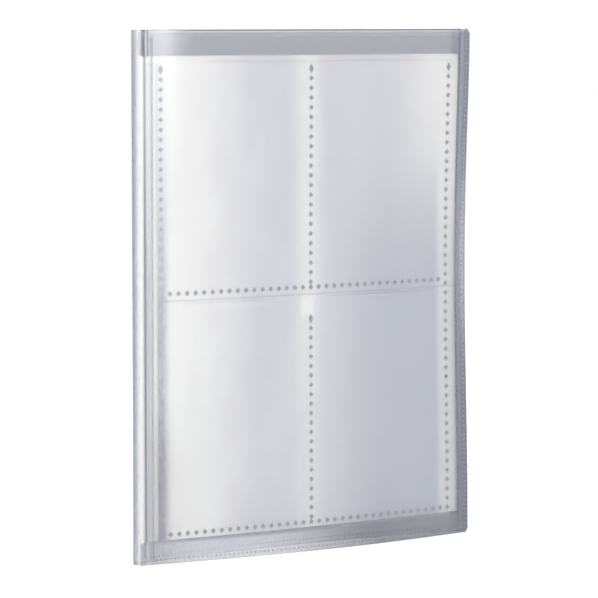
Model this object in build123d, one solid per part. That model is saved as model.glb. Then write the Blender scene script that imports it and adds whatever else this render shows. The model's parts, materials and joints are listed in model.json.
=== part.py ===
from build123d import *
import os
from math import sqrt

# Clear pocket display book, closed and standing upright on its lower edges.
# X runs from the spine to the fore-edge, Y from the front cover to the back cover, Z up.
# The origin is at the bottom centre of the closed book. All sizes are in millimetres.

# Cover: one clear sheet, scored and folded into front cover, spine and back cover
cover_width = 235.0
cover_height = 310.0
sheet_thickness = 0.8
inner_fold_radius = 0.4
hinge_clearance = 0.1
cover_bow = 9.5
corner_radius = 4.0

# Pressed score beside each hinge, which lets the cover bend near the spine
score_from_hinge = 3.6
score_radius = 0.5
score_depth = 0.25

# Clear overlay on each cover, open at the top: a bar weld beside the spine, dots below and at the fore-edge
overlay_thickness = 0.15
overlay_gap = 0.12
overlay_from_hinge = 6.3
overlay_edge_inset = 0.8
overlay_top_drop = 1.6
overlay_bar_inset = 1.0
overlay_bar_width = 1.2
overlay_dot_inset = 2.0
overlay_dot_size = 1.3
overlay_dot_pitch = 2.9

# Stack of pocket leaves
leaf_count = 6
film_thickness = 0.13
pocket_gap = 0.24
leaf_spacing_at_spine = 0.35
leaf_spacing_at_fore_edge = 0.22
leaf_to_cover = 0.3
leaf_bottom = 13.5
leaf_height = 281.3
leaf_fore_edge_inset = 7.7
least_leaf_bow = 0.5
outer_leaf_room = 3.5

# Pocket films of one leaf
pocket_from_root = 9.7
pocket_mouth_drop = 3.6
lower_pocket_height = 137.5
pocket_slit = 2.0

# Weld dots that join the films of one leaf
dot_size = 2.4
dot_pitch = 5.75
dash_length = 5.0
weld_seat = 0.01
left_column_inset = 2.5
right_column_inset = 7.3
bottom_row_rise = 3.0
middle_row_rise = 4.3
column_from_row = 3.0
upper_dash_drop = 4.2
lower_dash_drop = 12.7

# Binding weld: the ridge of melted film that holds the leaves to the spine
binding_depth = 2.3
binding_rib_gap = 0.1
root_clearance = 0.2

# Thicknesses that follow from the stack
leaf_thickness = 2 * film_thickness + pocket_gap
root_pitch = leaf_thickness + leaf_spacing_at_spine
edge_pitch = leaf_thickness + leaf_spacing_at_fore_edge
binding_width = leaf_count * root_pitch
spine_width = binding_width + 2 * (leaf_to_cover + sheet_thickness)
fore_edge_thickness = leaf_count * edge_pitch + 2 * (leaf_to_cover + sheet_thickness)
fold_radius = sheet_thickness + inner_fold_radius
rib_radius = (root_pitch - binding_rib_gap) / 2

# Places along X, from the spine to the fore-edge
spine_x = -cover_width / 2
fore_edge_x = cover_width / 2
hinge_x = spine_x + fold_radius
panel_x = hinge_x + hinge_clearance
overlay_x = hinge_x + overlay_from_hinge
binding_x = spine_x + sheet_thickness
rib_x = binding_x + binding_depth
root_x = rib_x + rib_radius + root_clearance
pocket_x = root_x + pocket_from_root
leaf_edge_x = fore_edge_x - leaf_fore_edge_inset

# Heights of the pocket films
leaf_top = leaf_bottom + leaf_height
upper_mouth_z = leaf_top - pocket_mouth_drop
lower_mouth_z = leaf_bottom + lower_pocket_height
upper_pocket_z = lower_mouth_z + pocket_slit

FRONT = -1
BACK = 1


class BowedPlan:
    """Arc that a sheet follows in plan, from its root to its free edge, bowed to one side.

    Offsets ahead of the arc are measured the way that the sheet faces.
    """

    def __init__(self, root, edge, bow, side, facing):
        chord = Vector(*edge) - Vector(*root)
        across = Vector(-chord.Y, chord.X).normalized() * side
        self.side = side
        self.turn = side * facing
        self.radius = (chord.length**2 / 4 + bow**2) / (2 * bow)
        self.centre = Vector(*root) + chord / 2 - across * (self.radius - bow)

    def forward(self, x):
        """Unit vector square to the sheet at x, pointing the way that it faces."""
        along = x - self.centre.X
        depth = self.side * sqrt(self.radius**2 - along**2)
        return Vector(along, depth).normalized() * self.turn

    def point(self, x, ahead=0.0):
        """Point of the sheet at x, moved ahead of the arc."""
        return self.centre + self.forward(x) * (ahead + self.turn * self.radius)

    def seat(self, x, z, ahead):
        """Place on the sheet with its own Y up and its own Z pointing the way that the sheet faces."""
        forward = self.forward(x)
        origin = self.point(x, ahead) + Vector(0, 0, z)
        return Plane(origin, x_dir=Vector(0, 0, 1).cross(forward), z_dir=forward).location

    def sheet(self, start_x, end_x, behind, ahead, bottom, height):
        """Upright sheet between two offsets of the arc, with its ends cut square."""
        middle_x = (start_x + end_x) / 2
        front = [self.point(x, ahead) for x in (start_x, middle_x, end_x)]
        rear = [self.point(x, behind) for x in (end_x, middle_x, start_x)]
        outline = [
            ThreePointArc(*front),
            Line(front[-1], rear[0]),
            ThreePointArc(*rear),
            Line(rear[-1], front[0]),
        ]
        return Pos(Z=bottom) * extrude(make_face(outline), height)


def weld_dot(width, length, height):
    """Four-sided point that the welding horn leaves, standing on a diamond."""
    diamond = Polygon((width / 2, 0), (0, length / 2), (-width / 2, 0), (0, -length / 2))
    return loft([diamond.face(), Vertex(0, 0, height)], ruled=True)


def spread(first, last, pitch):
    """Even places from first to last, as near to the pitch as they fit."""
    steps = max(1, round((last - first) / pitch))
    return [first + (last - first) * step / steps for step in range(steps + 1)]


def fore_edge_trim(start_x, inset, top_drop):
    """Block that trims a cover sheet to its outline, with two rounded corners at the fore-edge."""
    end_x = fore_edge_x - inset
    height = cover_height - inset - top_drop
    centre = Pos((start_x + end_x) / 2, 0, inset + height / 2)
    block = centre * Box(end_x - start_x, 2 * cover_width, height)
    corners = block.edges().filter_by(Axis.Y).group_by(Axis.X)[-1]
    return fillet(corners, max(corner_radius - inset, inset))


def make_spine():
    """Spine with the rounded half of each fold, as far as the hinge line."""
    inside = 2 * sheet_thickness
    outer = RectangleRounded(2 * spine_width, spine_width, fold_radius)
    inner = RectangleRounded(2 * spine_width - inside, spine_width - inside, inner_fold_radius)
    folds = Pos(spine_x + spine_width) * (outer - inner)
    keep = Pos(spine_x + fold_radius / 2) * Rectangle(fold_radius, spine_width)
    return extrude(folds & keep, cover_height)


def make_binding_weld():
    """Welded ridge along the spine, with one rounded rib for the root of each leaf."""
    ridge = Pos(binding_x + binding_depth / 2) * Rectangle(binding_depth, binding_width)
    ridge = fillet(ridge.vertices().group_by(Axis.X)[0], inner_fold_radius)
    for rank in leaf_ranks():
        ridge += Pos(rib_x, rank * root_pitch) * Circle(rib_radius)
    return Pos(Z=leaf_bottom) * extrude(ridge, leaf_height)


def cover_plan(side):
    """Arc of a cover's outer face, which faces out of the book."""
    root = (panel_x, side * spine_width / 2)
    edge = (fore_edge_x, side * fore_edge_thickness / 2)
    return BowedPlan(root, edge, cover_bow, side, facing=side)


def make_cover(side):
    """Cover panel from its hinge line to the fore-edge, with the pressed score beside the hinge."""
    plan = cover_plan(side)
    panel = plan.sheet(panel_x, fore_edge_x, -sheet_thickness, 0, 0, cover_height)
    panel &= fore_edge_trim(spine_x, 0, 0)
    score = plan.seat(hinge_x + score_from_hinge, cover_height / 2, score_radius - score_depth)
    return panel - score * Rot(X=90) * Cylinder(score_radius, 2 * cover_height)


def make_overlay(side):
    """Clear film over a cover."""
    outer = overlay_gap + overlay_thickness
    film = cover_plan(side).sheet(overlay_x, fore_edge_x, overlay_gap, outer, 0, cover_height)
    return film & fore_edge_trim(spine_x, overlay_edge_inset, overlay_top_drop)


def make_overlay_welds(side):
    """Bar weld beside the spine, and weld dots along the bottom and the fore-edge of an overlay."""
    plan = cover_plan(side)
    inset = overlay_edge_inset + overlay_dot_inset
    top_z = cover_height - overlay_top_drop - overlay_dot_inset
    bar_x = overlay_x + overlay_bar_inset
    bar_edge_x = bar_x + overlay_bar_width
    bar = plan.sheet(bar_x, bar_edge_x, weld_seat, overlay_gap - weld_seat, inset, top_z - inset)
    left_x = bar_edge_x + overlay_dot_size
    right_x = fore_edge_x - inset
    places = [(x, inset) for x in spread(left_x, right_x, overlay_dot_pitch)]
    places += [(right_x, z) for z in spread(inset, top_z, overlay_dot_pitch)[1:]]
    dot = weld_dot(overlay_dot_size, overlay_dot_size, overlay_gap - 2 * weld_seat)
    return Compound([bar] + [plan.seat(x, z, weld_seat) * dot for x, z in places])


def leaf_ranks():
    """Places of the leaves in the stack, counted from its middle."""
    return [leaf - (leaf_count - 1) / 2 for leaf in range(leaf_count)]


def leaf_plan(rank):
    """Arc of a leaf's rear film, which faces the front. Outer leaves bow most, but less than the covers."""
    side = FRONT if rank < 0 else BACK
    bow = max(least_leaf_bow, cover_bow * abs(rank) / (leaf_count / 2 + outer_leaf_room))
    root = (root_x, rank * root_pitch)
    edge = (leaf_edge_x, rank * edge_pitch + (pocket_gap + film_thickness) / 2)
    return BowedPlan(root, edge, bow, side, facing=FRONT)


def leaf_weld_places():
    """Places of the round dots and of the long dashes on one leaf, as x and z."""
    left_x = pocket_x + left_column_inset
    right_x = leaf_edge_x - right_column_inset
    middle_x = (left_x + right_x) / 2
    bottom_z = leaf_bottom + bottom_row_rise
    middle_z = upper_pocket_z + middle_row_rise
    upper_dash_z = upper_mouth_z - upper_dash_drop
    lower_dash_z = lower_mouth_z - lower_dash_drop
    dots = [(x, z) for z in (bottom_z, middle_z) for x in spread(left_x, right_x, dot_pitch)[1:-1]]
    dashes = [(middle_x, upper_dash_z), (middle_x, lower_dash_z)]
    for x in (left_x, right_x):
        dots += [(x, z) for z in spread(bottom_z, upper_dash_z, dot_pitch)[:-1]]
        dashes.append((x, upper_dash_z))
    for row_z, dash_z in ((bottom_z, lower_dash_z), (middle_z, upper_dash_z)):
        dots += [(middle_x, z) for z in spread(row_z + column_from_row, dash_z, dot_pitch)[:-1]]
    return dots, dashes


def make_leaf_welds(plan):
    """Weld dots and dashes between the rear film and the pocket films of one leaf."""
    height = pocket_gap - 2 * weld_seat
    seat_ahead = film_thickness / 2 + weld_seat
    dot = weld_dot(dot_size, dot_size, height)
    dash = weld_dot(dot_size, dash_length, height)
    dots, dashes = leaf_weld_places()
    welds = [plan.seat(x, z, seat_ahead) * dot for x, z in dots]
    welds += [plan.seat(x, z, seat_ahead) * dash for x, z in dashes]
    return Compound(welds)


def make_leaf(plan):
    """One leaf: a full-height rear film, two pocket films in front of it and the welds between."""
    half_film = film_thickness / 2
    pocket_back = half_film + pocket_gap
    pocket_front = pocket_back + film_thickness

    def pocket_film(bottom, top):
        return plan.sheet(pocket_x, leaf_edge_x, pocket_back, pocket_front, bottom, top - bottom)

    return {
        "rear_film": plan.sheet(root_x, leaf_edge_x, -half_film, half_film, leaf_bottom, leaf_height),
        "upper_pocket": pocket_film(upper_pocket_z, upper_mouth_z),
        "lower_pocket": pocket_film(leaf_bottom, lower_mouth_z),
        "weld_dots": make_leaf_welds(plan),
    }


def make_book():
    """Every piece of the book by its name."""
    pieces = {"spine": make_spine(), "binding_weld": make_binding_weld()}
    for name, side in (("front", FRONT), ("back", BACK)):
        pieces[f"{name}_cover"] = make_cover(side)
        pieces[f"{name}_overlay"] = make_overlay(side)
        pieces[f"{name}_overlay_welds"] = make_overlay_welds(side)
    for number, rank in enumerate(leaf_ranks(), start=1):
        for piece, shape in make_leaf(leaf_plan(rank)).items():
            pieces[f"leaf_{number}_{piece}"] = shape
    return pieces


os.makedirs("parts", exist_ok=True)
for name, shape in make_book().items():
    export_step(shape, f"parts/{name}.step")
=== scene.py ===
"""Dresses a clear pocket display book: glossy cover sheets, overlays, binding and welded pocket leaves."""

import json
import math
from typing import NamedTuple

import bmesh
import bpy
import numpy
from bpy.props import FloatProperty, FloatVectorProperty, IntProperty, PointerProperty
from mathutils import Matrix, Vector

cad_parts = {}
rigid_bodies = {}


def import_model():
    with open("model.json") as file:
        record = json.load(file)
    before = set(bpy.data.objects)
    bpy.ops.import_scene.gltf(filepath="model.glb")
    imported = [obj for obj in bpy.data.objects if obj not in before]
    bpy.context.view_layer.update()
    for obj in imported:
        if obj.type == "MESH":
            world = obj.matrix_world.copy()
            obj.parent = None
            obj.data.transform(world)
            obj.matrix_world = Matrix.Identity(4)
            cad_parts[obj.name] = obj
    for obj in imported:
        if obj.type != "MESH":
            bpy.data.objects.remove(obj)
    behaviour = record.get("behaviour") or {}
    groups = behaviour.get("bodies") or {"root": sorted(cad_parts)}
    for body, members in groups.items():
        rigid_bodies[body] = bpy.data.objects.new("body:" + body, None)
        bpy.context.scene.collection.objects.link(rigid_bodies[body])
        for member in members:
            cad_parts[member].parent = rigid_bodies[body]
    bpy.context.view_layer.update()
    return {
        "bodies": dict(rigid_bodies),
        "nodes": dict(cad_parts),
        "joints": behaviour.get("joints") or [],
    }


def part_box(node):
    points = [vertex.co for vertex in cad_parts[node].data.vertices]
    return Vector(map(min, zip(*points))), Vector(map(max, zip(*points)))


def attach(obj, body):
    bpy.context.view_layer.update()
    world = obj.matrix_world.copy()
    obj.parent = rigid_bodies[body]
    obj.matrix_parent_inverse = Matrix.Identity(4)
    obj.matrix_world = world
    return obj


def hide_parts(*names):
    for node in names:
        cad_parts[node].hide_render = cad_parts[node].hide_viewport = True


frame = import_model()

bl_info = {
    "name": "Clear Pocket Display Book",
    "version": (1, 0, 0),
    "blender": (4, 5, 0),
    "location": "View3D > Sidebar > Display Book",
    "description": "Clear cover sheets, overlays, binding and welded pocket leaves of a display book",
    "category": "Object",
}

UP = (0.0, 0.0, 1.0)
MM = 0.001
MERGE_DISTANCE = 0.001 * MM
SHEET_SMOOTH_ANGLE = math.radians(35)
WELD_SMOOTH_ANGLE = math.radians(20)
ARRIS_ANGLE = math.radians(60)
FOLD_STEPS = 6
JOINTS = {joint["name"]: joint for joint in frame["joints"]}
LEAVES = sorted(body for body in frame["bodies"] if body.startswith("leaf_"))
SIDES = ("front", "back")
SPINE_LOW, SPINE_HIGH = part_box("spine")
COVER_LOW, COVER_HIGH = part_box("front_cover")
LEAF_LOW, LEAF_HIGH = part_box("leaf_1_rear_film")
POCKET_LOW, POCKET_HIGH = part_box("leaf_1_upper_pocket")
LOWER_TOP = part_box("leaf_1_lower_pocket")[1].z
OVERLAY_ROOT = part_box("front_overlay")[0].x
HINGE_X = JOINTS["front_cover_hinge"]["pos_m"][0]


def length(name, description, default):
    """A size in metres that a user may change."""
    return FloatProperty(
        name=name, description=description, default=default, min=0.0, unit="LENGTH", precision=5
    )


def share(name, description, default):
    """A part of one, such as how much light a surface stops."""
    return FloatProperty(
        name=name, description=description, default=default, min=0.0, max=1.0, subtype="FACTOR"
    )


def colour(name, description, default):
    """A surface colour in linear light."""
    return FloatVectorProperty(
        name=name, description=description, default=default, size=3, min=0.0, max=1.0, subtype="COLOR"
    )


class CoverSettings(bpy.types.PropertyGroup):
    """Sizes and colours of the cover sheet and its overlays."""

    sheet_thickness: length("Sheet thickness", "Thickness of the cover sheet", 0.8 * MM)
    overlay_thickness: length("Overlay thickness", "Thickness of the overlay film", 0.15 * MM)
    edge_round: length("Edge round", "Width of the rounded arris along the cut edges", 0.1 * MM)
    corner_radius: length("Corner radius", "Radius of the cover's corners at the fore-edge", 4.0 * MM)
    score_from_hinge: length("Score place", "Distance of the pressed score from the hinge line", 3.6 * MM)
    score_width: length("Score width", "Width of the pressed score", 1.0 * MM)
    score_depth: length("Score depth", "Depth of the pressed score", 0.22 * MM)
    weld_height: length("Weld height", "Height of a weld from its foot on the cover's face", 0.34 * MM)
    weld_taper: length("Weld taper", "Slope of a weld's sides", 0.1 * MM)
    cover_sway: length("Cover sway", "How far a cover's fore-edge bends back at half height", 4.2 * MM)
    leaf_sway: length("Leaf sway", "How far a leaf's fore-edge bends back at half height", 3.4 * MM)
    sway_lift: share("Sway lift", "How much more the fore-edge bends above half height than below", 0.5)
    columns: IntProperty(name="Columns", description="Faces across a cover", default=96, min=8)
    rows: IntProperty(name="Rows", description="Faces up a cover", default=64, min=8)
    tint: colour("Tint", "Grey that the clear sheet takes on", (0.066, 0.078, 0.108))
    # Score highlight: a painted highlight on the lit side of the pressed score.
    score_highlight: colour("Score pale", "Paler line that the pressed score leaves", (0.34, 0.35, 0.38))
    # Painted light: a paler lavender patch on the sheet below the leaves, where light comes through the book
    # onto the floor behind.
    foot_light_patch: colour("Foot pale", "Lavender grey of the sheet below the leaves", (0.5, 0.5, 0.55))
    # Grey of the pressed strip along the fore-edge, which also paints shade there and at the outer end of the
    # foot.
    frost_and_shade: colour("Frost", "Grey of the pressed strip along the fore-edge", (0.24, 0.249, 0.295))
    sheet_haze: share("Sheet haze", "Light that one face of the cover sheet stops", 0.12)
    overlay_haze: share("Overlay haze", "Light that one face of the overlay stops", 0.07)
    weld: colour("Weld", "Grey of the welds that hold the overlay", (0.2, 0.205, 0.23))
    # Fold white: partly the whitening of bent plastic, partly a painted highlight on the folds and on the
    # band beside the hinge.
    fold_white_and_highlight: colour("Fold white", "Pale colour of the folds, where the sheet is bent", (0.51, 0.515, 0.54))


class LeafSettings(bpy.types.PropertyGroup):
    """Sizes and colours of the pocket leaves."""

    film_thickness: length("Film thickness", "Thickness of one pocket film", 0.13 * MM)
    left_column: length("Left weld column", "Inset of the left weld column from the pocket's edge", 2.5 * MM)
    right_column: length("Right weld column", "Inset of the right weld column from the fore-edge", 7.3 * MM)
    weld_row: length("Weld row", "Height of a pocket's weld row above the film's lower edge", 4.0 * MM)
    outer_pillow: length("Outer pillow", "How far the pockets of the outermost leaf stand off", 0.7 * MM)
    inner_pillow: length("Inner pillow", "How far the pockets of the leaves in the stack stand off", 0.1 * MM)
    columns: IntProperty(name="Columns", description="Faces across a film", default=80, min=8)
    rows: IntProperty(name="Rows", description="Faces up a film", default=48, min=8)
    # Film: the milky white of the film, which also serves as the colour of the painted highlights.
    film: colour("Film", "Milky white of the film where it lies tight", (0.96, 0.95, 0.925))
    # Painted shade: the greyer white of the film away from the highlights, in the middle of each pocket.
    pocket_middle_shade: colour("Slack film", "Greyer white of the film where it stands off", (0.765, 0.76, 0.79))
    # Shaded film: painted shade of the lower outer pocket.
    shaded_film: colour("Shaded film", "Bluish grey of the lower outer pocket's film", (0.56, 0.58, 0.63))
    # Painted shade in the creases, in the welded margin and beside the spine towards the foot; also the grey
    # of the film edges.
    crease_shade_and_edge: colour("Crease", "Grey of the creases and of the welded margin", (0.2, 0.215, 0.25))
    rear_haze: share("Rear haze", "Light that one face of a rear film stops", 0.6)
    pocket_haze: share("Pocket haze", "Light that one face of a pocket film stops", 0.72)
    weld: colour("Weld", "Grey of the weld dots", (0.25, 0.257, 0.275))
    weld_height: length("Weld height", "Height of a weld from its foot behind the rear film", 0.65 * MM)
    weld_sink: length("Weld sink", "How far a weld's foot goes back through the rear film", 0.15 * MM)
    weld_taper: length("Weld taper", "Slope of a weld's sides", 0.12 * MM)
    weld_spread: length("Weld spread", "How far the melted film spreads round a weld's foot", 0.65 * MM)


class StageSettings(bpy.types.PropertyGroup):
    """Floor, light and camera."""

    floor: colour("Floor", "Colour of the pale floor", (0.86, 0.86, 0.86))
    floor_size: length("Floor size", "Width of the floor", 80.0)
    sky: FloatProperty(name="Sky", description="Strength of the light from all round", default=1.15, min=0.0)
    camera_azimuth: FloatProperty(
        name="Camera azimuth",
        description="Angle of the camera round the book, from straight ahead",
        default=math.radians(-33.035),
        subtype="ANGLE",
    )
    camera_yaw: FloatProperty(
        name="Camera yaw",
        description="How far the camera looks beside the book's middle",
        default=math.radians(0.113),
        subtype="ANGLE",
    )
    camera_pitch: FloatProperty(
        name="Camera pitch",
        description="How far the camera looks down",
        default=math.radians(4.944),
        subtype="ANGLE",
    )
    camera_distance: length("Camera distance", "Distance of the camera from the book, on the floor", 1.9517)
    camera_height: length("Camera height", "Height of the camera above the floor", 0.3185)
    camera_lens: FloatProperty(name="Lens", description="Focal length in millimetres", default=197.8)


def combine(operation, reflected=False):
    """Python operator that adds a Math node to the finish of a wire."""

    def apply(wire, other):
        pair = (other, wire) if reflected else (wire, other)
        return wire.finish.math(operation, *pair)

    return apply


class Wire:
    """One output socket of a finish. Arithmetic on wires adds Math nodes."""

    def __init__(self, finish, socket):
        self.finish = finish
        self.socket = socket

    __add__ = combine("ADD")
    __radd__ = combine("ADD", reflected=True)
    __sub__ = combine("SUBTRACT")
    __rsub__ = combine("SUBTRACT", reflected=True)
    __mul__ = combine("MULTIPLY")
    __rmul__ = combine("MULTIPLY", reflected=True)
    __truediv__ = combine("DIVIDE")
    __rtruediv__ = combine("DIVIDE", reflected=True)

    def __abs__(self):
        return self.finish.math("ABSOLUTE", self)

    def clamp(self):
        """The same value kept between 0 and 1."""
        return self.finish.node("ShaderNodeClamp", inputs={"Value": self})


class Finish:
    """A procedural material on the Principled shader, with the piece's own coordinates."""

    def __init__(self, name, **constants):
        self.material = bpy.data.materials.new(name)
        self.material.use_nodes = True
        self.tree = self.material.node_tree
        self.shader = self.tree.nodes["Principled BSDF"]
        self.place = self.node("ShaderNodeTexCoord", output="Object")
        self.x = self.node("ShaderNodeSeparateXYZ", inputs={"Vector": self.place}, output="X")
        self.y = self.node("ShaderNodeSeparateXYZ", inputs={"Vector": self.place}, output="Y")
        self.z = self.node("ShaderNodeSeparateXYZ", inputs={"Vector": self.place}, output="Z")
        self.surface({name.replace("_", " "): value for name, value in constants.items()})

    def feed(self, socket, value):
        """Links a wire to a socket, or sets the socket's own value."""
        if isinstance(value, Wire):
            self.tree.links.new(value.socket, socket)
        elif socket.type == "RGBA" and len(value) == 3:
            socket.default_value = (*value, 1.0)
        else:
            socket.default_value = value

    def node(self, kind, settings=None, inputs=None, output=0):
        """Adds a node with its settings and its sockets' values or links, and gives one of its outputs."""
        made = self.tree.nodes.new(kind)
        for name, value in (settings or {}).items():
            setattr(made, name, value)
        for name, value in (inputs or {}).items():
            self.feed(made.inputs[name], value)
        return Wire(self, made.outputs[output])

    def surface(self, inputs):
        """Sets or links sockets of the Principled shader."""
        for name, value in inputs.items():
            self.feed(self.shader.inputs[name], value)

    def math(self, operation, *values):
        """Math node on wires and numbers."""
        return self.node("ShaderNodeMath", {"operation": operation}, dict(enumerate(values)))

    def noise(self, size, detail=2.0, stretch=(1.0, 1.0, 1.0)):
        """Cloudy value from 0 to 1 with spots of about the given size, stretched along the axes."""
        scale = tuple(1.0 / (size * factor) for factor in stretch)
        spread = self.node("ShaderNodeVectorMath", {"operation": "MULTIPLY"}, {0: self.place, 1: scale})
        return self.node("ShaderNodeTexNoise", inputs={"Vector": spread, "Scale": 1.0, "Detail": detail})

    def ramp(self, value, start, end):
        """Smooth rise from 0 at start to 1 at end."""
        inputs = {"Value": value, "From Min": start, "From Max": end}
        return self.node("ShaderNodeMapRange", {"interpolation_type": "SMOOTHSTEP"}, inputs)

    def band(self, value, centre, half_width, soft):
        """1 within a half width of the centre, falling softly to 0."""
        return 1 - self.ramp(abs(value - centre), half_width, half_width + soft)

    def blend(self, factor, first, second):
        """Colour between two colours."""
        inputs = {0: factor, 6: first, 7: second}
        return self.node("ShaderNodeMix", {"data_type": "RGBA"}, inputs, output=2)


def clear_sheet_finish(cover, name, haze):
    """Glossy clear plastic with faint smears, dark rims along the cut edges, margins made denser as painted
    shade, and painted highlight, shade and light at the hinge band, the score and the foot.
    """
    finish = Finish(name, IOR=1.8, Specular_IOR_Level=0.5)
    smear = finish.noise(60 * MM, detail=2.0, stretch=(0.5, 1.0, 2.0))
    rub = finish.noise(2.2 * MM, detail=2.0, stretch=(0.4, 1.0, 6.0))
    top_rim = finish.ramp(finish.z, COVER_HIGH.z - 1.1 * MM, COVER_HIGH.z - 0.5 * MM)
    foot_rim = finish.ramp(finish.z, COVER_LOW.z + 0.9 * MM, COVER_LOW.z + 0.3 * MM)
    edge_rim = finish.ramp(finish.x, COVER_HIGH.x - 1.1 * MM, COVER_HIGH.x - 0.5 * MM)
    rim = (top_rim + foot_rim + edge_rim).clamp()
    lower = 1 - finish.ramp(finish.z, COVER_LOW.z, COVER_HIGH.z)
    top = finish.ramp(finish.z, LEAF_HIGH.z - 1.0 * MM, LEAF_HIGH.z + 1.0 * MM)
    strip = finish.ramp(finish.x, LEAF_HIGH.x - 0.8 * MM, LEAF_HIGH.x + 0.4 * MM)
    foot = 1 - finish.ramp(finish.z, LEAF_LOW.z - 2.0 * MM, LEAF_LOW.z)
    near = 1 - 0.7 * finish.ramp(finish.y, -1.0 * MM, 1.0 * MM)
    # Pressed strip along the fore-edge and the outer end of the foot; its grey is partly painted shade of the
    # darker lower right.
    frosted_and_shaded = (strip + foot * finish.ramp(finish.x, 25 * MM, 60 * MM)).clamp()
    # Painted light: a pale patch across the left and middle of the foot below the leaves.
    painted_foot_light = foot * finish.ramp(finish.x, -140 * MM, -75 * MM)
    painted_foot_light = painted_foot_light * (1 - finish.ramp(finish.x, -40 * MM, 50 * MM))
    # Painted shade: the margins above, below and beside the leaves are made denser, most on the front cover
    # at the fore-edge, so that they read grey.
    margin = 0.5 * top * (1 - strip) + 0.9 * foot + near * (3.6 * strip + 1.2 * frosted_and_shaded)
    score_x = HINGE_X + cover.score_from_hinge
    # Root band from the hinge to just before the score: takes the fold white, partly whitened plastic and
    # partly a painted highlight.
    root = (1 - finish.ramp(finish.x + 0.9 * MM * top, score_x - 1.7 * MM, score_x - 0.9 * MM)) * (1 - foot)
    # Painted shade: the pressed score, and a wider band round it in the top margin, are made denser and
    # rougher so that they read darker.
    pressed = finish.band(finish.x, score_x - 0.3 * MM, 0.3 * MM, 0.3 * MM)
    pressed = pressed + 1.5 * top * finish.band(finish.x, score_x + 0.2 * MM, 1.7 * MM, 0.8 * MM)
    # Painted highlight: a pale line on the lit side of the pressed score.
    pale = finish.band(finish.x, score_x + 0.9 * MM, 0.25 * MM, 0.3 * MM)
    tint = tuple(cover.tint)
    sheet = finish.blend((smear - 0.35).clamp(), tint, tuple(1.5 * part for part in tint))
    outer = finish.ramp(finish.x, COVER_HIGH.x - 6.0 * MM, COVER_HIGH.x - 4.0 * MM)
    # Painted shade: the strip darkens towards the foot, and near the outermost edge it is mixed back towards
    # the tint.
    frost_and_shade = finish.blend(lower, tuple(cover.frost_and_shade), tuple(0.68 * part for part in cover.frost_and_shade))
    frost_and_shade = finish.blend(0.45 * outer, frost_and_shade, tint)
    sheet = finish.blend(0.9 * frosted_and_shaded, sheet, frost_and_shade)
    sheet = finish.blend(0.8 * painted_foot_light, sheet, tuple(cover.foot_light_patch))
    sheet = finish.blend(root, sheet, tuple(cover.fold_white_and_highlight))
    finish.surface({
        "Base Color": finish.blend(pale, sheet, tuple(cover.score_highlight)),
        "Roughness": 0.1 + 0.06 * smear + 0.02 * rub + 0.3 * pressed + 0.3 * frosted_and_shaded,
        "Alpha": haze * (0.85 + 0.2 * smear + 0.1 * rub + margin)
        + 0.3 * rim + 0.15 * pressed + 0.1 * pale + 0.15 * root,
    })
    return finish.material


def cut_edge_finish():
    """Sheared edge of the clear sheet, which gathers light and looks darker than the face."""
    finish = Finish("cut_edge", IOR=1.5)
    shear = finish.noise(0.7 * MM, detail=3.0, stretch=(1.0, 3.0, 1.0))
    finish.surface({
        "Base Color": finish.blend(shear, (0.05, 0.055, 0.06), (0.14, 0.15, 0.165)),
        "Roughness": 0.3 + 0.25 * shear,
        "Alpha": 0.6 + 0.25 * shear,
    })
    return finish.material


def spine_finish(cover):
    """Clear sheet with a mottled face that pales towards the front as a painted highlight, folds partly
    whitened by bending and partly given a painted highlight, and painted shade along the rear.
    """
    finish = Finish("spine_sheet", IOR=1.6, Specular_IOR_Level=0.5)
    half_width = SPINE_HIGH.y
    fold_radius = SPINE_HIGH.x - SPINE_LOW.x
    # The folds take the fold white: partly whitened plastic, partly a painted highlight.
    front_fold = finish.ramp(finish.y, 0.65 * fold_radius - half_width, 0.1 * fold_radius - half_width)
    back_fold = finish.ramp(finish.y, half_width - 0.4 * fold_radius, half_width - 0.1 * fold_radius)
    fold = front_fold + back_fold
    # Painted shade: the rear half of the spine beside the rear fold is darker and denser.
    rear = finish.ramp(finish.y, 0.3 * MM, 1.8 * MM) * (1 - fold)
    # Painted highlight: the face pales towards the front fold.
    pale = finish.ramp(finish.y, 0.0, -0.8 * half_width)
    mottle = finish.noise(3.0 * MM, detail=3.0, stretch=(1.0, 1.0, 3.0))
    streak = finish.noise(1.2 * MM, detail=2.0, stretch=(1.0, 1.0, 18.0))
    face = finish.blend(mottle, (0.26, 0.285, 0.325), (0.48, 0.51, 0.56))
    face = finish.blend(0.8 * pale, face, tuple(cover.fold_white_and_highlight))
    shaded = finish.blend(rear, face, (0.17, 0.185, 0.215))
    finish.surface({
        "Base Color": finish.blend(fold, shaded, tuple(cover.fold_white_and_highlight)),
        "Roughness": 0.18 + 0.2 * mottle,
        "Alpha": 0.42 + 0.16 * mottle + fold * (0.1 * streak) + 0.3 * rear,
    })
    return finish.material


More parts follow.
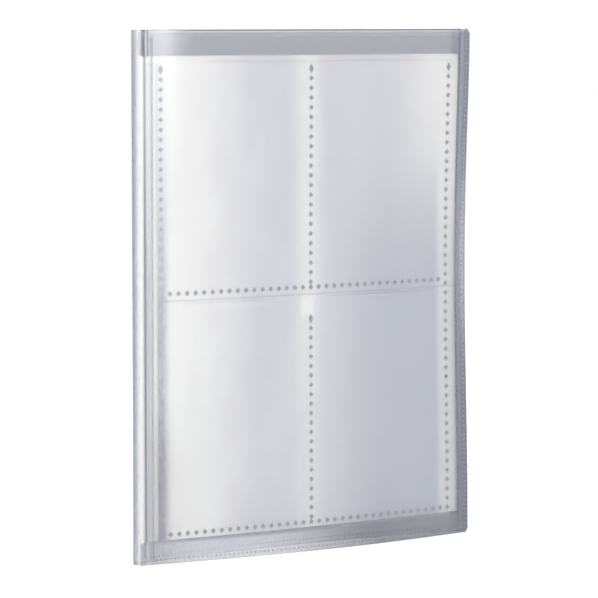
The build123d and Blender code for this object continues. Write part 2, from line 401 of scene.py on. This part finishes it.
def film_finish(leaf, name, haze, shades):
    """Milky film with painted light and shade: painted highlights beside the spine, round the weld columns
    and at the pocket mouth, painted shade in the middle of each pocket and at the lower outer pocket, and the
    darker marks that the shades function gives.
    """
    finish = Finish(name, IOR=1.5, Specular_IOR_Level=0.6)
    cloud = finish.noise(34 * MM, detail=2.0, stretch=(0.8, 1.0, 1.6))
    left_x = POCKET_LOW.x + leaf.left_column
    right_x = POCKET_HIGH.x - leaf.right_column
    middle_x = (left_x + right_x) / 2
    up = finish.ramp(finish.z, LEAF_LOW.z, LEAF_HIGH.z)
    # Painted light: highlights beside the spine and round the middle column, and light over the upper outer
    # part of the page.
    spine_side_highlight = 1 - finish.ramp(finish.x, left_x + 22 * MM, left_x + 68 * MM)
    middle_column_highlight = finish.band(finish.x, middle_x - 2 * MM, 2 * MM, 12 * MM)
    outer_side_light = finish.ramp(finish.x, right_x - 50 * MM, right_x - 5 * MM)
    high = finish.ramp(finish.z, LOWER_TOP, LOWER_TOP + 110 * MM)
    wrinkle = finish.noise(3.0 * MM, detail=2.0, stretch=(7.0, 1.0, 0.8))
    # Painted highlight: a pale spot at the middle column just below the lower pocket's mouth.
    mouth_highlight = finish.band(finish.x, middle_x - 2.5 * MM, 2 * MM, 4 * MM)
    mouth_highlight = mouth_highlight * finish.band(finish.z, LOWER_TOP - 5 * MM, 4 * MM, 3 * MM)
    # Painted light: the rear film seen in the gap between the two pockets, and above the pockets, is made
    # paler and denser.
    bare_film_light = finish.band(finish.z, (LOWER_TOP + POCKET_LOW.z) / 2, 1.0 * MM, 0.5 * MM)
    bare_film_light = bare_film_light * finish.ramp(finish.x, POCKET_LOW.x, left_x)
    bare_film_light = bare_film_light + finish.ramp(finish.z, POCKET_HIGH.z - 0.3 * MM, POCKET_HIGH.z + 0.3 * MM)
    # Tight: the painted highlights, which turn the page to the film white.
    tight = spine_side_highlight + middle_column_highlight * (0.3 + 0.3 * up + 0.3 * wrinkle) + outer_side_light * high + 0.8 * mouth_highlight
    # Painted highlight round the outer weld column.
    column = finish.band(finish.x, right_x, 4 * MM, 6 * MM)
    tight = tight + 0.15 * bare_film_light + 0.5 * column
    # Painted shade: the lower outer pocket darkens towards the shaded film colour.
    lower_right_shade = finish.ramp(finish.x, middle_x, middle_x + 55 * MM) * (1 - high) * (1 - 0.7 * column)
    page = finish.blend((tight + 0.3 * cloud - 0.15).clamp(), tuple(leaf.pocket_middle_shade), tuple(leaf.film))
    page = finish.blend((lower_right_shade * (0.5 + 0.6 * cloud)).clamp(), page, tuple(leaf.shaded_film))
    # Painted shade from the shades function: darker and denser film.
    dark = shades(finish, 1 - finish.ramp(finish.z, LOWER_TOP - 20 * MM, POCKET_HIGH.z))
    finish.surface({
        "Base Color": finish.blend(dark, page, tuple(leaf.crease_shade_and_edge)),
        "Roughness": 0.34 + 0.2 * cloud,
        "Alpha": haze * (0.9 + 0.2 * cloud) + 0.3 * dark + 0.15 * bare_film_light,
    })
    return finish.material


def margin_shade(finish, lower):
    """Mottled shade of the welded margin on the spine side, deeper towards the foot."""
    margin = finish.ramp(finish.x, POCKET_LOW.x - 0.3 * MM, POCKET_LOW.x + 1.0 * MM)
    margin = margin * (1 - finish.ramp(finish.x, POCKET_LOW.x + 2.5 * MM, POCKET_LOW.x + 9.5 * MM))
    beside = finish.band(finish.x, POCKET_LOW.x + 2.0 * MM, 2.0 * MM, 12.0 * MM)
    mottle = finish.noise(2.4 * MM, detail=2.0, stretch=(1.0, 1.0, 2.0))
    return margin * (0.14 + 0.52 * lower) * (0.6 + 0.8 * mottle) + 0.22 * lower * beside


def rear_film_finish(leaf):
    """Film of a leaf's back, with three pressed creases beside the binding darkened as painted shade, and
    painted shade beside the spine that deepens towards the foot.
    """

    # Painted shade: the creases, a shade beside the spine that deepens towards the foot, and the welded
    # margin.
    def creases(finish, lower):
        wide = finish.band(finish.x, LEAF_LOW.x + 2.3 * MM, 0.5 * MM, 0.4 * MM)
        fine = finish.band(finish.x, LEAF_LOW.x + 3.9 * MM, 0.15 * MM, 0.3 * MM)
        third = finish.band(finish.x, LEAF_LOW.x + 5.5 * MM, 0.3 * MM, 0.4 * MM)
        beside = 1 - finish.ramp(finish.x, LEAF_LOW.x + 3.5 * MM, LEAF_LOW.x + 7.0 * MM)
        lines = 0.7 * wide + 0.4 * fine + 0.15 * third
        return (lines + 0.35 * lower * beside + margin_shade(finish, lower)).clamp()

    return film_finish(leaf, "rear_film", leaf.rear_haze, creases)


def pocket_film_finish(leaf):
    """Film of the pockets, with painted shade in the mottled welded margin on the spine side and thin lines
    along its lips.
    """

    # Painted shade of the welded margin, with the darker left edge and the thin lines along the lips.
    def gutter_shade(finish, lower):
        edge = 1 - finish.ramp(finish.x, POCKET_LOW.x + 0.5 * MM, POCKET_LOW.x + 1.3 * MM)
        lips = 1.7 * finish.band(finish.z, POCKET_LOW.z, 0.3 * MM, 0.15 * MM)
        lips = lips + 0.5 * finish.band(finish.z, LOWER_TOP, 0.2 * MM, 0.2 * MM)
        lips = lips + 0.5 * finish.band(finish.z, POCKET_HIGH.z, 0.2 * MM, 0.2 * MM)
        return (margin_shade(finish, lower) + 0.15 * edge + 0.25 * lips).clamp()

    return film_finish(leaf, "pocket_film", leaf.pocket_haze, gutter_shade)


def film_edge_finish(name, edge):
    """Hot-cut edge of a film."""
    finish = Finish(name, IOR=1.5)
    bead = finish.noise(1.5 * MM, detail=2.0)
    finish.surface({
        "Base Color": finish.blend(bead, edge, tuple(1.6 * part for part in edge)),
        "Roughness": 0.35 + 0.2 * bead,
        "Alpha": 0.7 + 0.2 * bead,
    })
    return finish.material


def weld_finish(name, weld, alpha):
    """Melted and pressed plastic of the welds, clearer in the bar beside the spine."""
    finish = Finish(name, IOR=1.5, Specular_IOR_Level=0.6)
    melt = finish.noise(1.1 * MM, detail=2.0)
    bar = 1 - finish.ramp(finish.x, OVERLAY_ROOT + 2.5 * MM, OVERLAY_ROOT + 3.0 * MM)
    paler = tuple(1.4 * part for part in weld)
    finish.surface({
        "Base Color": finish.blend(melt, weld, paler),
        "Roughness": 0.3 + 0.25 * melt,
        "Alpha": alpha * (0.9 + 0.2 * melt) * (1 - 0.8 * bar),
    })
    return finish.material


def binding_finish():
    """Whitish ridge of melted film roots."""
    finish = Finish("binding_ridge", IOR=1.5, Specular_IOR_Level=0.6)
    melt = finish.noise(2.0 * MM, detail=4.0, stretch=(1.0, 1.0, 2.5))
    finish.surface({
        "Base Color": finish.blend(melt, (0.88, 0.86, 0.86), (0.96, 0.945, 0.94)),
        "Roughness": 0.3 + 0.3 * melt,
        "Alpha": 0.6 + 0.25 * melt,
    })
    return finish.material


def floor_finish(stage):
    """Plain pale studio floor."""
    finish = Finish("pale_floor", Specular_IOR_Level=0.0)
    cloud = finish.noise(0.7, detail=2.0)
    pale = tuple(stage.floor)
    finish.surface({
        "Base Color": finish.blend(cloud, pale, tuple(1.04 * part for part in pale)),
        "Roughness": 0.8 + 0.1 * cloud,
    })
    return finish.material


class Bow:
    """Arc along the middle of a sheet across the book, fitted to the vertices of the sheet's own node."""

    def __init__(self, node, shared=None):
        self.low, self.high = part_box(node)
        places = self.smooth_places(node)
        if shared:
            self.centre = shared.centre
        else:
            terms = [(2 * place.x, 2 * place.y, 1.0) for place in places]
            squares = [place.length_squared for place in places]
            self.centre = Vector(numpy.linalg.lstsq(terms, squares, rcond=None)[0][:2])
        distances = [(place - self.centre).length for place in places]
        self.radius = (min(distances) + max(distances)) / 2
        self.side = 1 if places[0].y > self.centre.y else -1
        self.root = self.point(self.low.x)
        self.edge = self.point(self.high.x)
        self.angle = 2 * self.side * math.asin((self.edge - self.root).length / 2 / self.radius)

    def smooth_places(self, node):
        """Places in plan of the vertices that lie off the pressed score."""
        cover = bpy.context.scene.display_book_covers
        score_x = HINGE_X + cover.score_from_hinge
        places = [Vector(vertex.co.xy) for vertex in frame["nodes"][node].data.vertices]
        return [place for place in places if abs(place.x - score_x) > cover.score_width]

    def point(self, x):
        """Point of the arc at x."""
        along = x - self.centre.x
        return Vector((x, self.centre.y + self.side * math.sqrt(self.radius**2 - along**2)))

    def outward(self, place):
        """Unit vector square to the sheet at a place, pointing to the side that it bows to."""
        radial = Vector((place.x - self.centre.x, place.y - self.centre.y, 0.0))
        return radial.normalized()


def select_only(piece):
    """Makes a piece the active one and the only one selected."""
    bpy.ops.object.select_all(action="DESELECT")
    piece.select_set(True)
    bpy.context.view_layer.objects.active = piece


def upright_edge(name, foot, bottom, top, rows):
    """Starts a piece as one upright edge cut into rows, and leaves it in edit mode, all selected."""
    bpy.ops.object.select_all(action="DESELECT")
    bpy.ops.mesh.primitive_plane_add(size=1.0)
    piece = bpy.context.object
    piece.name = name
    piece.data.name = name
    bpy.ops.object.mode_set(mode="EDIT")
    mesh = bmesh.from_edit_mesh(piece.data)
    for vertex in mesh.verts:
        vertex.select_set(vertex.co.x > 0)
    mesh.select_flush_mode()
    bmesh.update_edit_mesh(piece.data)
    bpy.ops.mesh.delete(type="VERT")
    mesh = bmesh.from_edit_mesh(piece.data)
    for vertex in mesh.verts:
        vertex.co = (foot.x, foot.y, top if vertex.co.y > 0 else bottom)
    bmesh.update_edit_mesh(piece.data)
    bpy.ops.mesh.select_all(action="SELECT")
    bpy.ops.mesh.subdivide(number_cuts=rows - 1)
    return piece


def spun_sheet(name, bow, columns, rows):
    """A sheet with no thickness yet, spun along its bow from an upright edge. It stays in edit mode."""
    piece = upright_edge(name, bow.root, bow.low.z, bow.high.z, rows)
    bpy.ops.mesh.spin(steps=columns, angle=bow.angle, center=(*bow.centre, 0.0), axis=UP)
    mesh = bmesh.from_edit_mesh(piece.data)
    reach = max(vertex.co.x for vertex in mesh.verts)
    if abs(reach - bow.edge.x) > MM:
        raise RuntimeError(f"{name} was spun to x = {reach:.4f}, and not to {bow.edge.x:.4f}")
    return piece


def cut_at(axis, places):
    """Cuts the whole mesh in edit mode by planes square to an axis."""
    for place in places:
        point = [0.0, 0.0, 0.0]
        normal = [0.0, 0.0, 0.0]
        point[axis] = place
        normal[axis] = 1.0
        bpy.ops.mesh.select_all(action="SELECT")
        bpy.ops.mesh.bisect(plane_co=point, plane_no=normal)


def move_vertices(piece, shift):
    """Moves each vertex of the mesh in edit mode by the vector that shift gives for its place."""
    mesh = bmesh.from_edit_mesh(piece.data)
    for vertex in mesh.verts:
        vertex.co += shift(vertex.co)
    bmesh.update_edit_mesh(piece.data)


def round_fore_edge(piece, bow, radius, steps=5):
    """Rounds the two corners of a sheet at the fore-edge."""
    insets = [radius * (1 - math.cos(math.pi / 2 * step / steps)) for step in range(1, steps + 1)]
    cut_at(0, [bow.high.x - inset for inset in insets])
    cut_at(2, [bow.high.z - inset for inset in insets] + [bow.low.z + inset for inset in insets])

    def to_arc(place):
        centre_z = min(max(place.z, bow.low.z + radius), bow.high.z - radius)
        along = Vector((place.x - (bow.high.x - radius), place.z - centre_z))
        if along.x <= 0 or along.y == 0 or along.length <= radius:
            return Vector()
        excess = along * (radius / along.length - 1)
        return Vector((excess.x, 0.0, excess.y))

    move_vertices(piece, to_arc)


def thicken(piece, thickness, edge_round=0.0):
    """Closes a sheet into a shell of its thickness, with the second material on the cut edges."""
    bpy.ops.mesh.select_all(action="SELECT")
    bpy.ops.mesh.remove_doubles(threshold=MERGE_DISTANCE)
    bpy.ops.mesh.normals_make_consistent(inside=False)
    bpy.ops.object.mode_set(mode="OBJECT")
    wall = piece.modifiers.new("wall", "SOLIDIFY")
    wall.thickness = thickness
    wall.offset = 0.0
    wall.use_even_offset = True
    wall.material_offset_rim = 1
    bpy.ops.object.modifier_apply(modifier=wall.name)
    if edge_round:
        arris = piece.modifiers.new("arris", "BEVEL")
        arris.width = edge_round
        arris.segments = 2
        arris.limit_method = "ANGLE"
        arris.angle_limit = ARRIS_ANGLE
        arris.material = 1
        bpy.ops.object.modifier_apply(modifier=arris.name)
    bpy.ops.object.shade_smooth_by_angle(angle=SHEET_SMOOTH_ANGLE)


def pressed_welds(name, node, foot_faces, height, taper, spread=0.0, sink=0.0):
    """Welds of a node as flat-topped diamonds, raised from their feet through the film ahead of them."""
    piece = bpy.data.objects.new(name, frame["nodes"][node].data.copy())
    piece.data.name = name
    piece.data.materials.clear()
    bpy.context.scene.collection.objects.link(piece)
    select_only(piece)
    bpy.ops.object.mode_set(mode="EDIT")
    bpy.ops.mesh.select_all(action="SELECT")
    bpy.ops.mesh.remove_doubles(threshold=MERGE_DISTANCE)
    keep_feet(piece, foot_faces)
    bpy.ops.mesh.select_all(action="SELECT")
    bpy.ops.mesh.tris_convert_to_quads(face_threshold=math.pi, shape_threshold=math.pi)
    spread_feet(piece, spread, sink)
    bpy.ops.mesh.duplicate()
    bpy.ops.mesh.flip_normals()
    bpy.ops.mesh.inset(thickness=taper, depth=height, use_individual=True)
    bpy.ops.mesh.inset(thickness=2 * taper, depth=-0.1 * height, use_individual=True)
    bpy.ops.mesh.select_all(action="SELECT")
    bpy.ops.mesh.remove_doubles(threshold=MERGE_DISTANCE)
    bpy.ops.mesh.normals_make_consistent(inside=False)
    bpy.ops.object.mode_set(mode="OBJECT")
    bpy.ops.object.shade_smooth_by_angle(angle=WELD_SMOOTH_ANGLE)
    return piece


def keep_feet(piece, foot_faces):
    """Deletes all faces but those that the welds stand on, which face one way along Y."""
    mesh = bmesh.from_edit_mesh(piece.data)
    mesh.normal_update()
    for face in mesh.faces:
        face.select_set(face.normal.y * foot_faces < 0.5)
    bmesh.update_edit_mesh(piece.data)
    bpy.ops.mesh.delete(type="FACE")


def spread_feet(piece, spread, sink):
    """Moves the corners of each foot away from its middle and back along its normal."""
    mesh = bmesh.from_edit_mesh(piece.data)
    mesh.normal_update()
    for face in mesh.faces:
        middle = face.calc_center_median()
        for vertex in face.verts:
            vertex.co += (vertex.co - middle).normalized() * spread + face.normal * sink
    bmesh.update_edit_mesh(piece.data)


def bend_fore_edge(piece, body):
    """Bends a piece back towards the fore-edge, most at about half height, as the limp sheets stand."""
    cover = bpy.context.scene.display_book_covers
    sway = cover.leaf_sway if body in LEAVES else cover.cover_sway
    for vertex in piece.data.vertices:
        along = (vertex.co.x - HINGE_X) / (COVER_HIGH.x - HINGE_X)
        height = 2 * vertex.co.z / COVER_HIGH.z - 1
        vertex.co.y += sway * along**2 * (1 - height**2) ** 2 * (1 + cover.sway_lift * height)


def hand_over(piece, body, node, slot, *finishes):
    """Gives a finished piece its bend, its materials and its body, and hides the CAD node that it stands for.
    """
    for finish in finishes:
        piece.data.materials.append(finish)
    bend_fore_edge(piece, body)
    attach(piece, body)
    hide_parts(node)


def refinish(node, finish):
    """Gives a CAD node that keeps its shape a better material."""
    piece = frame["nodes"][node]
    if not piece.material_slots:
        piece.data.materials.append(finish)
    for place in piece.material_slots:
        place.material = finish


class DISPLAYBOOK_OT_covers(bpy.types.Operator):
    """Model the spine, the front cover and the back cover from one clear sheet"""

    bl_idname = "displaybook.covers"
    bl_label = "Cover sheets"

    def execute(self, context):
        cover = context.scene.display_book_covers
        cut_edge = cut_edge_finish()
        sheet = clear_sheet_finish(cover, "cover_sheet", cover.sheet_haze)
        self.make_spine(cover, spine_finish(cover), cut_edge)
        for side in SIDES:
            self.make_cover(cover, side, sheet, cut_edge)
        return {"FINISHED"}

    def make_spine(self, cover, *finishes):
        half_sheet = cover.sheet_thickness / 2
        fold_radius = SPINE_HIGH.x - SPINE_LOW.x
        start = Vector((SPINE_HIGH.x, SPINE_LOW.y + half_sheet))
        piece = upright_edge("clear_spine", start, SPINE_LOW.z, SPINE_HIGH.z, cover.rows // 2)
        quarter = math.pi / 2
        front_fold = (SPINE_HIGH.x, SPINE_LOW.y + fold_radius, 0.0)
        back_fold = (SPINE_HIGH.x, SPINE_HIGH.y - fold_radius, 0.0)
        across = (0.0, back_fold[1] - front_fold[1], 0.0)
        bpy.ops.mesh.spin(steps=FOLD_STEPS, angle=quarter, center=front_fold, axis=UP)
        bpy.ops.mesh.extrude_edges_move(TRANSFORM_OT_translate={"value": across})
        bpy.ops.mesh.spin(steps=FOLD_STEPS, angle=quarter, center=back_fold, axis=UP)
        thicken(piece, cover.sheet_thickness, cover.edge_round)
        hand_over(piece, "spine", "spine", "cover_clear", *finishes)

    def make_cover(self, cover, side, *finishes):
        node = f"{side}_cover"
        bow = Bow(node)
        piece = spun_sheet(f"clear_{node}", bow, cover.columns, cover.rows)
        score_x = HINGE_X + cover.score_from_hinge
        half_score = cover.score_width / 2
        cut_at(0, [score_x + step * half_score for step in (-1.0, -0.5, 0.0, 0.5, 1.0)])

        def press_score(place):
            away = min(abs(place.x - score_x) / half_score, 1.0)
            return bow.outward(place) * -cover.score_depth * (1 - away**2)

        move_vertices(piece, press_score)
        round_fore_edge(piece, bow, cover.corner_radius)
        thicken(piece, cover.sheet_thickness, cover.edge_round)
        hand_over(piece, node, node, "cover_clear", *finishes)


class DISPLAYBOOK_OT_overlays(bpy.types.Operator):
    """Model the clear overlay of each cover and finish its welds"""

    bl_idname = "displaybook.overlays"
    bl_label = "Overlays"

    def execute(self, context):
        cover = context.scene.display_book_covers
        film = clear_sheet_finish(cover, "overlay_film", cover.overlay_haze)
        edge = film_edge_finish("overlay_edge", tuple(cover.weld))
        welds = weld_finish("overlay_weld", tuple(cover.weld), 0.75)
        for side in SIDES:
            node = f"{side}_overlay"
            bow = Bow(node)
            piece = spun_sheet(f"clear_{node}", bow, cover.columns, cover.rows)
            round_fore_edge(piece, bow, cover.corner_radius - cover.sheet_thickness)
            thicken(piece, cover.overlay_thickness)
            hand_over(piece, f"{side}_cover", node, "overlay_clear", film, edge)
            self.make_welds(cover, side, welds)
        return {"FINISHED"}

    def make_welds(self, cover, side, finish):
        node = f"{side}_overlay_welds"
        foot_faces = 1 if side == "front" else -1
        piece = pressed_welds(f"pressed_{node}", node, foot_faces, cover.weld_height, cover.weld_taper)
        hand_over(piece, f"{side}_cover", node, "weld", finish)


class DISPLAYBOOK_OT_binding(bpy.types.Operator):
    """Finish the welded ridge that holds the leaves to the spine"""

    bl_idname = "displaybook.binding"
    bl_label = "Binding weld"

    def execute(self, context):
        refinish("binding_weld", binding_finish())
        return {"FINISHED"}


class DISPLAYBOOK_OT_leaves(bpy.types.Operator):
    """Model the films of every pocket leaf and finish the welds that join them"""

    bl_idname = "displaybook.leaves"
    bl_label = "Pocket leaves"

    def execute(self, context):
        leaf = context.scene.display_book_leaves
        rear = rear_film_finish(leaf)
        pocket = pocket_film_finish(leaf)
        edge = film_edge_finish("film_edge", tuple(leaf.crease_shade_and_edge))
        welds = weld_finish("pocket_weld", tuple(leaf.weld), 1.0)
        for body in LEAVES:
            rise = leaf.outer_pillow if body == LEAVES[0] else leaf.inner_pillow
            bow = self.make_rear_film(leaf, body, rear, edge)
            for pockets in ("upper_pocket", "lower_pocket"):
                self.make_pockets(leaf, body, f"{body}_{pockets}", bow, rise, pocket, edge)
            self.make_welds(leaf, body, welds)
        return {"FINISHED"}

    def make_rear_film(self, leaf, body, *finishes):
        """The full-height film of a leaf. Gives the arc that it follows."""
        node = f"{body}_rear_film"
        bow = Bow(node)
        piece = spun_sheet(f"milky_{node}", bow, leaf.columns, leaf.rows)
        thicken(piece, leaf.film_thickness)
        hand_over(piece, body, node, "pocket_film", *finishes)
        return bow

    def make_welds(self, leaf, body, finish):
        node = f"{body}_weld_dots"
        sizes = (leaf.weld_height, leaf.weld_taper, leaf.weld_spread, leaf.weld_sink)
        piece = pressed_welds(f"pressed_{node}", node, 1, *sizes)
        hand_over(piece, body, node, "weld", finish)

    def make_pockets(self, leaf, body, node, leaf_bow, rise, *finishes):
        """The film of two pockets side by side, pillowed between its weld columns."""
        bow = Bow(node, leaf_bow)
        piece = spun_sheet(f"milky_{node}", bow, leaf.columns, leaf.rows)
        left_x = bow.low.x + leaf.left_column
        right_x = bow.high.x - leaf.right_column
        pocket_width = (right_x - left_x) / 2
        weld_z = bow.low.z + leaf.weld_row

        def pillow(place):
            across = math.sin(math.pi * (place.x - left_x) / pocket_width) ** 2
            up = min(max((place.z - weld_z) / (bow.high.z - weld_z), 0.0), 1.0)
            inside = left_x < place.x < right_x
            height = rise * across * math.sin(math.pi * 0.72 * up) if inside else 0.0
            forward = bow.outward(place)
            return forward * (-height if forward.y > 0 else height)

        move_vertices(piece, pillow)
        thicken(piece, leaf.film_thickness)
        hand_over(piece, body, node, "pocket_film", *finishes)


class Softbox(NamedTuple):
    """A rectangular studio light, with its lengths in metres and its power in watts."""

    name: str
    place: tuple
    target: tuple
    size: tuple
    power: float


SOFTBOXES = (
    Softbox(
        "key_light", place=(-1.1, -2.0, 1.5), target=(0.0, 0.0, 0.2), size=(1.6, 1.2), power=62.0
    ),
    Softbox(
        "strip_light", place=(0.055, -0.62, 0.16), target=(-0.1, 0.0, 0.16), size=(0.04, 0.5), power=0.62
    ),
    Softbox(
        "top_glint", place=(0.055, -0.62, 0.32), target=(-0.1, 0.0, 0.3), size=(0.04, 0.1), power=0.11
    ),
)
TRANSPARENT_LAYERS = 48


class DISPLAYBOOK_OT_stage(bpy.types.Operator):
    """Add the floor, the studio light and the camera"""

    bl_idname = "displaybook.stage"
    bl_label = "Stage"

    def execute(self, context):
        scene = context.scene
        stage = scene.display_book_stage
        scene.view_settings.view_transform = "Standard"
        scene.cycles.transparent_max_bounces = TRANSPARENT_LAYERS
        self.add_floor(stage)
        self.add_sky(scene, stage)
        for softbox in SOFTBOXES:
            self.add_softbox(scene, softbox)
        self.add_camera(scene, stage)
        return {"FINISHED"}

    def add_floor(self, stage):
        bpy.ops.object.select_all(action="DESELECT")
        bpy.ops.mesh.primitive_plane_add(size=stage.floor_size)
        floor = bpy.context.object
        floor.name = "floor"
        floor.data.materials.append(floor_finish(stage))

    def add_sky(self, scene, stage):
        scene.world = bpy.data.worlds.new("studio_sky")
        scene.world.use_nodes = True
        scene.world.cycles.sampling_method = "NONE"
        sky = scene.world.node_tree.nodes["Background"]
        sky.inputs["Color"].default_value = (1.0, 1.0, 1.0, 1.0)
        sky.inputs["Strength"].default_value = stage.sky

    def add_softbox(self, scene, softbox):
        """A rectangular light that looks at its target and that the camera doesn't see."""
        light = bpy.data.lights.new(softbox.name, "AREA")
        light.shape = "RECTANGLE"
        light.size, light.size_y = softbox.size
        light.energy = softbox.power
        lamp = bpy.data.objects.new(softbox.name, light)
        lamp.location = softbox.place
        direction = Vector(softbox.target) - Vector(softbox.place)
        lamp.rotation_euler = direction.to_track_quat("-Z", "Y").to_euler()
        lamp.visible_camera = False
        scene.collection.objects.link(lamp)

    def add_camera(self, scene, stage):
        lens = bpy.data.cameras.new("camera")
        lens.lens = stage.camera_lens
        lens.clip_end = stage.floor_size
        camera = bpy.data.objects.new("camera", lens)
        camera.location = (
            math.sin(stage.camera_azimuth) * stage.camera_distance,
            -math.cos(stage.camera_azimuth) * stage.camera_distance,
            stage.camera_height,
        )
        tilt = math.pi / 2 - stage.camera_pitch
        camera.rotation_euler = (tilt, 0.0, stage.camera_azimuth + stage.camera_yaw)
        scene.collection.objects.link(camera)
        scene.camera = camera


class DISPLAYBOOK_PT_panel(bpy.types.Panel):
    """Lists the steps that make the display book"""

    bl_idname = "DISPLAYBOOK_PT_panel"
    bl_label = "Display Book"
    bl_space_type = "VIEW_3D"
    bl_region_type = "UI"
    bl_category = "Display Book"

    def draw(self, context):
        for operator in OPERATORS:
            self.layout.operator(operator.bl_idname)
        for name in SETTINGS:
            settings = getattr(context.scene, name)
            box = self.layout.box()
            for field in settings.__annotations__:
                box.prop(settings, field)


OPERATORS = (
    DISPLAYBOOK_OT_covers,
    DISPLAYBOOK_OT_overlays,
    DISPLAYBOOK_OT_binding,
    DISPLAYBOOK_OT_leaves,
    DISPLAYBOOK_OT_stage,
)
SETTINGS = {
    "display_book_covers": CoverSettings,
    "display_book_leaves": LeafSettings,
    "display_book_stage": StageSettings,
}
CLASSES = (*SETTINGS.values(), *OPERATORS, DISPLAYBOOK_PT_panel)


def register():
    for item in CLASSES:
        bpy.utils.register_class(item)
    for name, settings in SETTINGS.items():
        setattr(bpy.types.Scene, name, PointerProperty(type=settings))


def unregister():
    for name in SETTINGS:
        delattr(bpy.types.Scene, name)
    for item in reversed(CLASSES):
        bpy.utils.unregister_class(item)


def main():
    register()
    bpy.ops.displaybook.covers()
    bpy.ops.displaybook.overlays()
    bpy.ops.displaybook.binding()
    bpy.ops.displaybook.leaves()
    bpy.ops.displaybook.stage()


if __name__ == "__main__":
    main()
